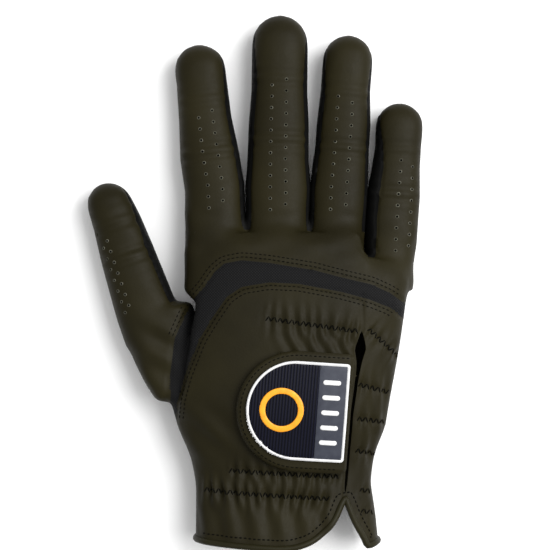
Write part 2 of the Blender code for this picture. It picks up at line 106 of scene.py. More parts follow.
# Heights above the table that part the palm from the sides, and the sides from the back
PALM_TOP = 6.5
BACK_FROM = 12.0

# Panel borders on the back of the hand, as points in millimetres
BAND_LOWER = (
    (-34, -68), (-31.5, -56), (-31, -50), (-28, -39), (-22, -24), (-16.5, -15), (-11, -7), (-5, -3),
    (6, -1.2), (18, -1.8), (35, -5), (46, -8), (55, -11.5), (62, -17),
)
BAND_UPPER = (
    (-40, -62), (-35, -46), (-32, -24), (-28, -15), (-24.5, -8), (-20, -3), (-16, 3), (-12, 6.4), (-5, 7.7),
    (6, 6.6), (24, 3.7), (35, 0.8), (47, -2), (55, -5.6), (62, -10.5),
)
HEM = (
    (-30, -105.2), (-22.4, -105.3), (0, -106.9), (9.6, -107.4), (15.9, -107.1), (21.5, -105.4),
    (25.9, -102.9), (29.7, -99.6), (32.8, -95.4), (34.7, -91), (36.4, -87.3), (37.9, -91), (39.4, -95),
    (41, -98.4),
    (42.8, -101.6), (44.4, -104.4), (45.6, -107.4), (49.9, -106.2), (60, -105),
)
SLIT = ((-110, 37), (-87.3, 36.5), (-80, 37.2), (-54, 39.2), (-34, 42.0), (-24, 43.0), (-5, 43.4))
SLIT_HALF = ((-88, 0), (-82, 0.5), (-38, 0.6), (-33, 1.1), (-28, 2.2), (-24, 1.3), (-20.5, 0))

# Gathered zigzag rows: start, end, depth of the gathers, how far they reach
GATHERS = (
    ((4.7, -15.6), (41.5, -20.8), 0.75, 5.0),
    ((45.6, -19.7), (58.2, -31.2), 0.6, 4.0),
    ((41.6, -41.9), (54.3, -45.6), 0.7, 5.0),
    ((41.2, -55.7), (52.6, -57.7), 0.7, 5.0),
    ((40.6, -68.7), (49.1, -70.9), 0.6, 4.5),
    ((-10.0, -76.6), (34.0, -79.2), 1.0, 3.6),
    ((-20.2, -84.8), (30.3, -87.9), 1.1, 4.6),
    ((42.4, -84.8), (47.0, -85.9), 0.4, 3.5),
    ((42.8, -93.1), (48.0, -94.3), 0.4, 3.5),
)
GATHER_PITCH = 4.6

# Tab and badge, as distances from the tab's root
TAB_ROOT = (38.4, -53.9)
TAB_LENGTH = 45.4
TAB_WIDTH = 48.0
TAB_TURN = -4.0
TAB_LIFT = 1.6
TAB_THICKNESS = 2.2
BADGE_BORDER = 1.05
STRIP_WIDTH = 12.0


def shift():
    """From the plan numbers above to the frame, which is centred on its box."""
    joint = next(j for j in frame["joints"] if j["name"] == "thumb_flex")
    return np.array(joint["pos_m"][:2]) / MM - np.array(THUMB_JOINT_AT)


OFFSET = shift()


def border(points):
    table = np.array(points, float)
    return lambda at: np.interp(at, table[:, 0], table[:, 1])


def digit_frame(name):
    """Base point, direction along, direction across, of a digit, from its joint."""
    joint = next(j for j in frame["joints"] if j["name"] == name + "_flex")
    across = -np.array(joint["axis"], float)
    along = np.array((-across[1], across[0], 0.0))
    return np.array(joint["pos_m"], float) / MM, along, across


def node_points(names):
    return np.array([v.co for name in names for v in frame["nodes"][name].data.vertices], float) / MM


FRAMES = {name: digit_frame(name) for name in DIGITS}


def digit_nodes(name):
    return [name + part for part in ("_back", "_palm_side", "_thumb_side_wall", "_little_side_wall")]


def digit_size(name):
    """Length, half width and half thickness of a digit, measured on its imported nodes."""
    base, along, across = FRAMES[name]
    points = node_points(digit_nodes(name))
    run = (points - base) @ along
    side = (points - base) @ across
    return run.max(), np.abs(side).max(), points[:, 2].max() / 2


SIZES = {name: digit_size(name) for name in DIGITS}


def hull(target, points):
    """Adds the closed hull of some points to a bmesh."""
    work = bmesh.new()
    for point in points:
        work.verts.new(Vector(point) * MM)
    made = bmesh.ops.convex_hull(work, input=work.verts)
    inner = made["geom_interior"] + made["geom_unused"]
    spare = [item for item in inner if isinstance(item, bmesh.types.BMVert)]
    bmesh.ops.delete(work, geom=list(set(spare)), context="VERTS")
    mesh = bpy.data.meshes.new("hull")
    work.to_mesh(mesh)
    work.free()
    target.from_mesh(mesh)
    bpy.data.meshes.remove(mesh)


# Cuts across the hand, from the cuff up
CUTS = 28
CUT_STEP = 4.6
FIRST_CUT = 0.2
FEWEST_CUT_POINTS = 8


def hand_sections():
    """Outlines of the hand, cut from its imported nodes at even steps."""
    lowest = node_points(HAND_SKIN)[:, 1].min()
    cuts = []
    for step in range(CUTS):
        y = lowest + FIRST_CUT + step * CUT_STEP
        points = []
        for name in HAND_SKIN:
            work = bmesh.new()
            work.from_mesh(frame["nodes"][name].data)
            everything = work.verts[:] + work.edges[:] + work.faces[:]
            cut = bmesh.ops.bisect_plane(work, geom=everything, plane_co=(0, y * MM, 0), plane_no=(0, 1, 0))
            points += [item.co / MM for item in cut["geom_cut"] if isinstance(item, bmesh.types.BMVert)]
            work.free()
        if len(points) > FEWEST_CUT_POINTS:
            cuts.append(np.array(points, float))
    return [cut for number, cut in enumerate(cuts) if not in_a_seam(cuts, number)]


def in_a_seam(cuts, number):
    """Whether a cut fell between two side panels, so that it is narrower than the cuts beside it."""
    if number in (0, len(cuts) - 1):
        return False
    before, here, after = (cuts[number + step][:, 0] for step in (-1, 0, 1))
    right = here.max() < min(before.max(), after.max()) - SEAM_SLACK
    left = here.min() > max(before.min(), after.min()) + SEAM_SLACK
    return right or left


# How far hulls run on, so that neighbours join
CUFF_RUN_ON = 5.0
DIGIT_ROOT_DEPTH = 1.5
DIGIT_RUN_IN = 12.0
THUMB_RUN_IN = 7.0
GUSSET_SIDE = 6.0
GUSSET_HALF_REACH = 10


def glove_form():
    """One closed, smooth body of the whole glove."""
    work = bmesh.new()
    sections = hand_sections()
    for here, there in zip(sections, sections[1:]):
        hull(work, np.vstack((here, there)))
    first = sections[0].copy()
    first[:, 1] -= CUFF_RUN_ON
    hull(work, np.vstack((first, sections[0])))
    for name in DIGITS:
        base, along, _ = FRAMES[name]
        points = node_points(digit_nodes(name))
        root = points[(points - base) @ along < DIGIT_ROOT_DEPTH] - along * DIGIT_RUN_IN
        hull(work, np.vstack((points, root)))
    root = node_points(THUMB_ROOT)
    hull(work, np.vstack((root, root + (THUMB_RUN_IN, 0.0, 0.0))))
    skin = node_points(HAND_SKIN)
    for name, side in (("index", -1), ("little", 1)):
        base, along, across = FRAMES[name]
        points = node_points(digit_nodes(name))
        away = points - base
        near = points[(away @ along < GUSSET_REACH) & (side * (away @ across) > GUSSET_SIDE)]
        beside = side * (skin[:, 0] - base[0]) > GUSSET_SIDE
        below = skin[(np.abs(skin[:, 1] - base[1] + GUSSET_HALF_REACH) < GUSSET_HALF_REACH) & beside]
        hull(work, np.vstack((near, below)))
    mesh = bpy.data.meshes.new("glove_form")
    work.to_mesh(mesh)
    work.free()
    made = bpy.data.objects.new("glove_form", mesh)
    bpy.context.scene.collection.objects.link(made)
    remesh = made.modifiers.new("remesh", "REMESH")
    remesh.mode = "VOXEL"
    remesh.voxel_size = VOXEL * MM
    smooth = made.modifiers.new("smooth", "SMOOTH")
    smooth.factor = 0.5
    smooth.iterations = SMOOTHING
    graph = bpy.context.evaluated_depsgraph_get()
    final = bpy.data.meshes.new_from_object(made.evaluated_get(graph))
    bpy.data.objects.remove(made)
    return final


def vertex_array(mesh):
    points = np.empty(len(mesh.vertices) * 3)
    mesh.vertices.foreach_get("co", points)
    return points.reshape(-1, 3) / MM


def normal_array(mesh):
    normals = np.empty(len(mesh.vertices) * 3)
    mesh.vertices.foreach_get("normal", normals)
    return normals.reshape(-1, 3)


def write_points(mesh, points):
    mesh.vertices.foreach_set("co", (points * MM).astype(np.float32).ravel())
    mesh.update()


def flat(points):
    """The points in the plan numbers that the borders use."""
    return points[:, 0] - OFFSET[0], points[:, 1] - OFFSET[1]


def smoothstep(low, high, at):
    share = np.clip((at - low) / (high - low), 0, 1)
    return share * share * (3 - 2 * share)


def on_digit(name, points):
    """Distance along, angle round and share across, of each point on a digit."""
    base, along, across = FRAMES[name]
    _, half_width, half_height = SIZES[name]
    away = points - base
    run = away @ along
    side = away @ across
    angle = np.degrees(np.arctan2((points[:, 2] - half_height) / half_height, side / half_width))
    return run, angle, side / half_width


# The side walls end this far short of a tip, and narrow over this length
WALL_END = 5.0
WALL_FADE = 22.0


def wall_close(name, run):
    """1 along a digit, falling to 0 near its tip, where the side walls run out."""
    length = SIZES[name][0]
    return np.sqrt(np.clip((length - WALL_END - run) / WALL_FADE, 0, 1))


# Across the hand, where the thumb ends, and where the ring and little fingers meet at their bases.
# Beyond LAST_WEB_TOP those two are parted by which of them is nearer.
THUMB_LIMIT = -30.6
RING_LIMIT = 47.2
LITTLE_LIMIT = 45.8
LAST_WEB_TOP = 30.0


# Each border is a signed field over the skin, with a mask of where it holds.
def digit_mask(name, points, reach=1.5):
    run, _, share = on_digit(name, points)
    x, y = flat(points)
    half_width = SIZES[name][1]
    inside = np.abs(share) < 1 + reach / half_width
    if name == "thumb":
        inside = inside & (x < THUMB_LIMIT)
    if name in ("ring", "little"):
        other = on_digit("little" if name == "ring" else "ring", points)[2]
        nearer = np.abs(share) <= np.abs(other)
        at_base = (x < RING_LIMIT) if name == "ring" else (x > LITTLE_LIMIT)
        inside = inside & np.where(y < LAST_WEB_TOP, at_base, nearer)
    return run, inside


def border_fields():
    band_low = border(BAND_LOWER)
    band_high = border(BAND_UPPER)
    hem = border(HEM)
    slit = border(SLIT)
    half = border(SLIT_HALF)

    def steep(line, at):
        gradient = line(at + 0.5) - line(at - 0.5)
        return 1 / np.sqrt(1 + gradient ** 2)

    def hem_field(points):
        x, y = flat(points)
        return (y - hem(x)) * steep(hem, x), np.abs(y + 98) < 14

    def low_field(points):
        x, y = flat(points)
        return (y - band_low(x)) * steep(band_low, x), points[:, 2] > BACK_FROM

    def high_field(points):
        x, y = flat(points)
        return (y - band_high(x)) * steep(band_high, x), (points[:, 2] > BACK_FROM) & (y < 12)

    def slit_left_field(points):
        x, y = flat(points)
        return x - slit(y) + half(y), (points[:, 2] > BACK_FROM) & (y < band_low(x) + 2)

    def slit_right_field(points):
        x, y = flat(points)
        valid = (points[:, 2] > BACK_FROM) & (y < band_low(x) + 2) & (half(y) > 0.01)
        return x - slit(y) - half(y), valid

    def palm_field(points):
        _, y = flat(points)
        return points[:, 2] - PALM_TOP, (y < 24)

    fields = {"hem": hem_field, "band_lower": low_field, "band_upper": high_field, "slit": slit_left_field,
              "slit_right": slit_right_field, "palm": palm_field}

    for name in DIGITS:
        def base_field(points, name=name):
            run, inside = digit_mask(name, points)
            return run, inside & (np.abs(run) < 8)

        def wall_field(points, name=name, sign=1):
            run, angle, _ = on_digit(name, points)
            side = "_right" if sign > 0 else "_left"
            high = WALL_ANGLES[name + side] * wall_close(name, run)
            value = (angle - high) if sign > 0 else (180 - angle - high)
            _, inside = digit_mask(name, points)
            if sign < 0:
                value = np.where(angle < -90, -high - 1, value)
            return value / 6, inside & (run > -2) & (points[:, 2] > 5)

        def palm_side_field(points, name=name, sign=1):
            run, angle, _ = on_digit(name, points)
            low = PALM_ANGLE * wall_close(name, run)
            angle = np.where(angle < -90, angle + 360, angle)
            value = (angle - low) if sign > 0 else (180 - low - angle)
            _, inside = digit_mask(name, points)
            return value / 6, inside & (run > -2) & (points[:, 2] < 2 * SIZES[name][2] * 0.65)

        fields[name + "_base"] = base_field
        fields[name + "_wall_right"] = wall_field
        fields[name + "_wall_left"] = lambda points, name=name, field=wall_field: field(points, name, -1)
        fields[name + "_palm_right"] = palm_side_field
        fields[name + "_palm_left"] = lambda points, name=name, field=palm_side_field: field(points, name, -1)
    return fields


FIELDS = border_fields()


def snap(points, edges, field):
    """Moves the points nearest a border onto it, so that the border is a clean line of edges."""
    values, valid = field(points)
    first = edges[:, 0]
    second = edges[:, 1]
    crossing = (values[first] * values[second] < 0) & valid[first] & valid[second]
    first = first[crossing]
    second = second[crossing]
    share = values[first] / (values[first] - values[second])
    near = np.where(share < 0.5, first, second)
    target = points[first] + (points[second] - points[first]) * share[:, None]
    travel = np.minimum(share, 1 - share)
    order = np.argsort(-travel)
    moved = points.copy()
    moved[near[order]] = target[order]
    return moved


def gather_waves(x, y):
    """Height of the gathers beside every zigzag row."""
    height = np.zeros(len(x))
    for start, end, depth, reach in GATHERS:
        line = np.array(end) - np.array(start)
        length = np.hypot(*line)
        line = line / length
        run = (x - start[0]) * line[0] + (y - start[1]) * line[1]
        off = -(x - start[0]) * line[1] + (y - start[1]) * line[0]
        ends = smoothstep(-3, 3, run) * smoothstep(-3, 3, length - run)
        wave = np.cos(2 * pi * run / GATHER_PITCH + 0.8 * np.sin(run * 0.35) + 0.3 * off * np.sin(run * 0.11))
        height += depth * ends * (wave - 0.35) * np.exp(-(np.abs(off) / reach) ** 1.7)
        height -= 0.45 * ends * np.exp(-(off / 1.5) ** 2)
    return height


def soft_folds(x, y):
    """Broad creases: below the knuckle gathers, at the cuff, at the thumb's root and at the finger bases."""
    fan = smoothstep(-52, -24, y) * smoothstep(-18, -24, y) * smoothstep(6, 16, x) * smoothstep(44, 38, x)
    folds = 0.55 * fan * np.cos((x + 0.55 * (y + 20)) * 0.95)
    cuff = smoothstep(-88, -94, y) * smoothstep(-108, -100, y)
    folds += 0.6 * cuff * np.cos(x * 0.62 + 0.9 * np.sin(y * 0.2)) * smoothstep(36, 28, x)
    root = np.exp(-((x + 38) / 9) ** 2) * np.exp(-((y + 28) / 17) ** 2)
    folds += 0.7 * root * np.cos((x * 0.5 + y) * 0.5)
    heel = np.exp(-((x + 18) / 12) ** 2) * np.exp(-((y + 62) / 12) ** 2)
    folds += 0.5 * heel * np.cos((x * 0.9 + y) * 0.42)
    knuckles = smoothstep(4, 12, y) * smoothstep(34, 24, y)
    folds += 0.3 * knuckles * np.cos(x * 0.22 + 1.0) * np.cos(y * 0.5)
    return folds


# Share of a digit's length and depth of its creases, and how far they spread
JOINT_CREASES = ((0.42, 0.35), (0.7, 0.25))
CREASE_REACH = 5.5


def finger_folds(points):
    """Faint creases across each digit at its joints."""
    folds = np.zeros(len(points))
    for name in DIGITS:
        run, inside = digit_mask(name, points)
        length = SIZES[name][0]
        for share, depth in JOINT_CREASES:
            off = run - share * length
            folds += inside * (run > 0) * depth * np.cos(off * 1.25) * np.exp(-(off / CREASE_REACH) ** 2)
    return folds


WEB_SIDE = 3.0
WEB_REACH = 6.0
OUTER_LEFT = 8
OUTER_RIGHT = 6


def smooth_webs(points, edges, normals):
    """Runs the leather smoothly from the hand into the fingers, on the back and at the two outer sides."""
    strength = np.zeros(len(points))
    for name in DIGITS[1:]:
        run, inside = digit_mask(name, points, WEB_SIDE)
        strength = np.maximum(strength, inside * np.exp(-(run / WEB_REACH) ** 4))
    left, right = (FRAMES[name][0][0] for name in ("index", "little"))
    outer = (points[:, 0] < left - OUTER_LEFT) | (points[:, 0] > right + OUTER_RIGHT)
    strength *= 0.5 * np.maximum(smoothstep(0.2, 0.6, normals[:, 2]), outer)
    count = np.bincount(edges.ravel(), minlength=len(points))[:, None]
    for _ in range(WEB_SMOOTHING):
        total = np.zeros_like(points)
        for axis in range(3):
            total[:, axis] = np.bincount(edges[:, 0], points[edges[:, 1], axis], len(points))
            total[:, axis] += np.bincount(edges[:, 1], points[edges[:, 0], axis], len(points))
        points = points + strength[:, None] * (total / count - points)
    return points


def shape_skin(mesh):
    """Gives the skin its borders, seam grooves, gathers and folds."""
    work = bmesh.new()
    work.from_mesh(mesh)
    bmesh.ops.triangulate(work, faces=work.faces[:])
    work.to_mesh(mesh)
    work.free()
    points = vertex_array(mesh) + normal_array(mesh) * REFILL
    points[:, 2] = np.maximum(points[:, 2], 0.0)
    edges = np.empty(len(mesh.edges) * 2, np.int64)
    mesh.edges.foreach_get("vertices", edges)
    edges = edges.reshape(-1, 2)
    points = smooth_webs(points, edges, normal_array(mesh))
    for field in FIELDS.values():
        points = snap(points, edges, field)
    write_points(mesh, points)
    normals = normal_array(mesh)
    x, y = flat(points)
    on_top = smoothstep(0.1, 0.5, normals[:, 2])
    push = on_top * (gather_waves(x, y) + soft_folds(x, y) + finger_folds(points))
    for name in ("band_lower", "band_upper", "slit"):
        values, valid = FIELDS[name](points)
        push -= SEAM_DEPTH * valid * on_top * np.exp(-(values / SEAM_REACH) ** 2)
    for name, field in FIELDS.items():
        if ("_wall_" in name and name not in PLAIN_WALLS) or "_palm_" in name:
            values, valid = field(points)
            push -= WALL_SEAM_DEPTH * valid * np.exp(-(values / WALL_SEAM_REACH) ** 2)
    points = points + normals * push[:, None]
    points[:, 2] = np.maximum(points[:, 2], 0.0)
    write_points(mesh, points)
    return mesh


# The thumb root panel's edges, as x and y in the plan numbers
ROOT_EDGE = -29.0
ROOT_ABOVE_BAND = (-27.5, -4.0)
ROOT_BELOW_BAND = (-34.0, -62.0)


def regions(points):
    """The panel that each face belongs to, by name, or an empty name where there is an opening."""
    x, y = flat(points)
    found = np.full(len(points), "palm_leather", dtype=object)
    low = border(BAND_LOWER)(x)
    high = border(BAND_UPPER)(x)
    slit = border(SLIT)(y)
    hem = border(HEM)(x)
    above = points[:, 2] > PALM_TOP
    found[above] = "back_leather"
    found[above & (x > slit) & (y < low)] = "side_leather"
    found[above & (y > low) & (y < high)] = "band"
    found[above & (y > high)] = "finger_back_leather"
    found[above & (y > high) & (x < ROOT_ABOVE_BAND[0]) & (y < ROOT_ABOVE_BAND[1])] = "thumb_root_leather"
    found[above & (x < ROOT_BELOW_BAND[0]) & (y > ROOT_BELOW_BAND[1])] = "thumb_root_leather"
    found[above & (x < ROOT_EDGE) & (y > high)] = "thumb_root_leather"
    half = border(SLIT_HALF)(y)
    found[above & (np.abs(x - slit) < half) & (y < low)] = ""
    found[y < hem] = ""
    for name in DIGITS:
        run, inside = digit_mask(name, points)
        _, angle, _ = on_digit(name, points)
        close = wall_close(name, run)
        bottom = PALM_ANGLE * close
        right = (angle <= WALL_ANGLES[name + "_right"] * close) & (angle >= bottom)
        turned = 180 - np.where(angle < -90, angle + 360, angle)
        left = (turned <= WALL_ANGLES[name + "_left"] * close) & (turned >= bottom)
        mine = inside & (run > 0)
        found[mine] = name + "_palm_leather"
        found[mine & (angle > 0)] = name + "_back_leather"
        found[mine & right] = name + "_right_wall"
        found[mine & left] = name + "_left_wall"
    return found



def region_meshes(mesh):
    """Cuts the skin into panels with thickness, shaded as one skin across their borders."""
    centres = np.empty(len(mesh.polygons) * 3)
    mesh.polygons.foreach_get("center", centres)
    names = regions(centres.reshape(-1, 3) / MM)
    shading = normal_array(mesh)
    pieces = {}
    for name in sorted(set(names) - {""}):
        keep = names == name
        work = bmesh.new()
        work.from_mesh(mesh)
        work.faces.ensure_lookup_table()
        layer = work.verts.layers.int.new("skin_number")
        for number, vertex in enumerate(work.verts):
            vertex[layer] = number + 1
        spare = [face for face, kept in zip(work.faces, keep) if not kept]
        bmesh.ops.delete(work, geom=spare, context="FACES")
        made = bmesh.ops.extrude_face_region(work, geom=work.faces[:])
        for vertex in made["geom"]:
            if isinstance(vertex, bmesh.types.BMVert):
                vertex.co -= Vector(shading[vertex[layer] - 1]) * LEATHER * MM
                vertex[layer] = 0
        bmesh.ops.recalc_face_normals(work, faces=work.faces[:])
        panel = bpy.data.meshes.new(name)
        work.to_mesh(panel)
        work.free()
        pieces[name] = finish_panel(panel, shading)
    return pieces


def finish_panel(panel, shading):
    """Smooth shading that runs on over the panel's borders, from the shading of the whole skin."""
    panel.shade_smooth()
    numbers = np.empty(len(panel.vertices), np.int32)
    panel.attributes["skin_number"].data.foreach_get("value", numbers)
    corners = np.empty(len(panel.loops), np.int32)
    panel.loops.foreach_get("vertex_index", corners)
    starts = np.empty(len(panel.polygons), np.int32)
    totals = np.empty(len(panel.polygons), np.int32)
    panel.polygons.foreach_get("loop_start", starts)
    panel.polygons.foreach_get("loop_total", totals)
    wanted = np.zeros((len(corners), 3))
    on_skin = numbers[corners] > 0
    wanted[on_skin] = shading[numbers[corners[on_skin]] - 1]
    for start, total in zip(starts, totals):
        if not on_skin[start:start + total].all():
            wanted[start:start + total] = 0.0
    panel.normals_split_custom_set([tuple(normal) for normal in wanted])
    panel.attributes.remove(panel.attributes["skin_number"])
    made = bpy.data.objects.new(panel.name, panel)
    bpy.context.scene.collection.objects.link(made)
    return made


# ---------------------------------------------------------------- materials

def grain_group():
    """Fine leather grain with broad handling marks: a height, and a mask that lightens worn high spots."""
    group = bpy.data.node_groups.new("hide_grain", "ShaderNodeTree")
    size = group.interface.new_socket("Grain Size", in_out="INPUT", socket_type="NodeSocketFloat")
    size.default_value = 900.0
    group.interface.new_socket("Height", in_out="OUTPUT", socket_type="NodeSocketFloat")
    group.interface.new_socket("Marks", in_out="OUTPUT", socket_type="NodeSocketFloat")
    nodes = group.nodes
    link = group.links.new
    inputs = nodes.new("NodeGroupInput")
    outputs = nodes.new("NodeGroupOutput")
    place = nodes.new("ShaderNodeTexCoord")
    pores = nodes.new("ShaderNodeTexVoronoi")
    pores.feature = "SMOOTH_F1"
    pores.inputs["Smoothness"].default_value = 0.6
    creases = nodes.new("ShaderNodeTexNoise")
    creases.inputs["Scale"].default_value = 260.0
    creases.inputs["Detail"].default_value = 6.0
    marks = nodes.new("ShaderNodeTexNoise")
    marks.inputs["Scale"].default_value = 38.0
    marks.inputs["Detail"].default_value = 4.0
    mix = nodes.new("ShaderNodeMath")
    mix.operation = "MULTIPLY_ADD"
    mix.inputs[1].default_value = 0.55
    for texture in (pores, creases, marks):
        link(place.outputs["Object"], texture.inputs["Vector"])
    link(inputs.outputs["Grain Size"], pores.inputs["Scale"])
    link(pores.outputs["Distance"], mix.inputs[0])
    link(creases.outputs["Fac"], mix.inputs[2])
    link(mix.outputs[0], outputs.inputs["Height"])
    link(marks.outputs["Fac"], outputs.inputs["Marks"])
    return group


GRAIN = grain_group()


# A wave texture of scale 1 repeats every pi / 10
WAVE_LENGTH = pi / 10


def new_material(name):
    made = bpy.data.materials.new(name)
    made.use_nodes = True
    return made, made.node_tree.nodes, made.node_tree.links.new, made.node_tree.nodes["Principled BSDF"]


def ramp(nodes, low, high, start=0.3, end=0.7):
    made = nodes.new("ShaderNodeValToRGB")
    made.color_ramp.elements[0].position = start
    made.color_ramp.elements[1].position = end
    made.color_ramp.elements[0].color = (*low, 1)
    made.color_ramp.elements[1].color = (*high, 1)
    return made


def raised(nodes, link, shader, height, strength, distance):
    """Feeds a height to the shader as a bump."""
    bump = nodes.new("ShaderNodeBump")
    bump.inputs["Strength"].default_value = strength
    bump.inputs["Distance"].default_value = distance
    link(height, bump.inputs["Height"])
    link(bump.outputs["Normal"], shader.inputs["Normal"])


def leather(name, dark, light, rough=0.5, bump=0.12):
    """Soft satin sheepskin with a fine grain."""
    made, nodes, link, shader = new_material(name)
    grain = nodes.new("ShaderNodeGroup")
    grain.node_tree = GRAIN
    grain.inputs["Grain Size"].default_value = 1150.0
    colour = ramp(nodes, dark, light)
    link(grain.outputs["Marks"], colour.inputs["Fac"])
    link(colour.outputs["Color"], shader.inputs["Base Color"])
    roughness = nodes.new("ShaderNodeMapRange")
    roughness.inputs["To Min"].default_value = rough - 0.06
    roughness.inputs["To Max"].default_value = rough + 0.08
    link(grain.outputs["Height"], roughness.inputs["Value"])
    link(roughness.outputs["Result"], shader.inputs["Roughness"])
    raised(nodes, link, shader, grain.outputs["Height"], bump, 0.0004)
    shader.inputs["Specular IOR Level"].default_value = 0.1
    return made


def woven(name, dark, light, pitch, turn=0.0, rough=0.75, bump=0.5):
    """Knitted or woven cloth: two crossed sets of ribs on object coordinates."""
    made, nodes, link, shader = new_material(name)
    place = nodes.new("ShaderNodeTexCoord")
    turned = nodes.new("ShaderNodeMapping")
    turned.inputs["Rotation"].default_value = (0, 0, radians(turn))
    link(place.outputs["Object"], turned.inputs["Vector"])
    ribs = []
    for direction in ("X", "Y"):
        wave = nodes.new("ShaderNodeTexWave")
        wave.bands_direction = direction
        wave.inputs["Scale"].default_value = WAVE_LENGTH / (pitch * MM)
        wave.inputs["Distortion"].default_value = 0.4
        link(turned.outputs["Vector"], wave.inputs["Vector"])
        ribs.append(wave)
    mix = nodes.new("ShaderNodeMath")
    mix.operation = "MULTIPLY"
    link(ribs[0].outputs["Fac"], mix.inputs[0])
    link(ribs[1].outputs["Fac"], mix.inputs[1])
    colour = ramp(nodes, dark, light, 0.0, 0.8)
    link(mix.outputs[0], colour.inputs["Fac"])
    link(colour.outputs["Color"], shader.inputs["Base Color"])
    raised(nodes, link, shader, mix.outputs[0], bump, 0.0003)
    shader.inputs["Roughness"].default_value = rough
    shader.inputs["Specular IOR Level"].default_value = 0.12
    return made


def ribbed(name, dark, light, pitch, turn=0.0, rough=0.5):
    """Cloth with fine ribs one way."""
    made, nodes, link, shader = new_material(name)
    place = nodes.new("ShaderNodeTexCoord")
    turned = nodes.new("ShaderNodeMapping")
    turned.inputs["Rotation"].default_value = (0, 0, radians(turn))
    wave = nodes.new("ShaderNodeTexWave")
    wave.bands_direction = "X"
    wave.inputs["Scale"].default_value = WAVE_LENGTH / (pitch * MM)
    colour = ramp(nodes, dark, light, 0.1, 0.9)
    link(place.outputs["Object"], turned.inputs["Vector"])
    link(turned.outputs["Vector"], wave.inputs["Vector"])
    link(wave.outputs["Fac"], colour.inputs["Fac"])
    link(colour.outputs["Color"], shader.inputs["Base Color"])
    raised(nodes, link, shader, wave.outputs["Fac"], 0.6, 0.0003)
    shader.inputs["Roughness"].default_value = rough
    shader.inputs["Specular IOR Level"].default_value = 0.1
    return made


def moulded(name, dark, light, rough=0.4, scale=420.0, gloss=0.3):
    """Smooth moulded or printed stuff with a slight mottle."""
    made, nodes, link, shader = new_material(name)
    place = nodes.new("ShaderNodeTexCoord")
    mottle = nodes.new("ShaderNodeTexNoise")
    mottle.inputs["Scale"].default_value = scale
    colour = ramp(nodes, dark, light)
    link(place.outputs["Object"], mottle.inputs["Vector"])
    link(mottle.outputs["Fac"], colour.inputs["Fac"])
    link(colour.outputs["Color"], shader.inputs["Base Color"])
    raised(nodes, link, shader, mottle.outputs["Fac"], 0.08, 0.0002)
    shader.inputs["Roughness"].default_value = rough
    shader.inputs["Specular IOR Level"].default_value = gloss
    return made


LOOKS = {
    "leather": leather("olive_hide", (0.0098, 0.0080, 0.0024), (0.0152, 0.0126, 0.0040)),
    "palm_leather": leather("palm_hide", (0.0102, 0.0085, 0.0032), (0.0160, 0.0134, 0.005), rough=0.55),
    # Inner side walls between digits: a separate panel, coloured near-black as painted shade in the gaps
    # between the fingers
    "side_leather": leather("wall_hide", (0.0018, 0.0018, 0.0018), (0.0035, 0.0035, 0.0032), rough=0.6),
    "band_fabric": woven("band_knit", (0.0030, 0.0030, 0.0032), (0.0105, 0.0105, 0.0108), 0.8, 45.0),
    "binding": leather("binding_hide", (0.0125, 0.0109, 0.0042), (0.018, 0.016, 0.0064), rough=0.42),
    "elastic": woven("elastic_weave", (0.006, 0.006, 0.006), (0.02, 0.02, 0.02), 1.2),
    "hook_loop": woven("hook_and_loop", (0.006, 0.006, 0.006), (0.028, 0.028, 0.028), 1.0, 30.0, 0.95, 1.0),
    "thread": moulded("dark_thread", (0.0012, 0.0011, 0.0008), (0.003, 0.0028, 0.0018), 0.8, 900.0, 0.05),
    # Near-black cones in the perforations: painted shade inside the holes. The light rims round them are
    # painted highlights on the hole edges.
    "hole": moulded("hole_shadow", (0.0008, 0.0008, 0.0006), (0.0015, 0.0015, 0.001), 0.9, 420.0, 0.0),
    "hole_rim": moulded("painted_highlight_hole_rim", (0.045, 0.043, 0.028), (0.11, 0.108, 0.08), 0.5),
    "badge_border": moulded("badge_white", (0.62, 0.62, 0.62), (0.74, 0.74, 0.74), 0.4),
    "badge_face": ribbed("badge_navy", (0.0008, 0.0009, 0.003), (0.0042, 0.0046, 0.0125), 1.2, 4.6),
    "badge_strip": moulded("badge_grey", (0.030, 0.033, 0.046), (0.040, 0.044, 0.058), 0.5, 420.0, 0.2),
    "badge_motif": moulded("badge_orange", (0.78, 0.30, 0.015), (0.90, 0.38, 0.02), 0.4),
    "label_cloth": woven("label_weave", (0.45, 0.45, 0.43), (0.7, 0.7, 0.68), 0.7),
}


def dress(piece, look):
    piece.data.materials.clear()
    piece.data.materials.append(LOOKS[look])
    return piece


# ---------------------------------------------------------------- placing things on the surface

class Surface:
    """Heights and normals of a mesh seen from above, in the plan numbers that the borders use."""

    def __init__(self, meshes):
        work = bmesh.new()
        for mesh in meshes:
            work.from_mesh(mesh)
        self.tree = BVHTree.FromBMesh(work)
        work.free()

    def at(self, x, y):
        start = Vector(((x + OFFSET[0]) * MM, (y + OFFSET[1]) * MM, 0.2))
        place, normal, _, _ = self.tree.ray_cast(start, Vector((0, 0, -1)))
        return place, normal


def linked(name, work, smooth=True):
    mesh = bpy.data.meshes.new(name)
    work.to_mesh(mesh)
    work.free()
    if smooth:
        mesh.shade_smooth()
    made = bpy.data.objects.new(name, mesh)
    bpy.context.scene.collection.objects.link(made)
    return made


def resampled(points, step):
    """Even steps along a line through points."""
    points = np.array(points, float)
    lengths = np.hypot(*np.diff(points, axis=0).T)
    total = np.concatenate(([0], np.cumsum(lengths)))
    at = np.arange(0, total[-1], step)
    return np.column_stack([np.interp(at, total, points[:, axis]) for axis in (0, 1)])


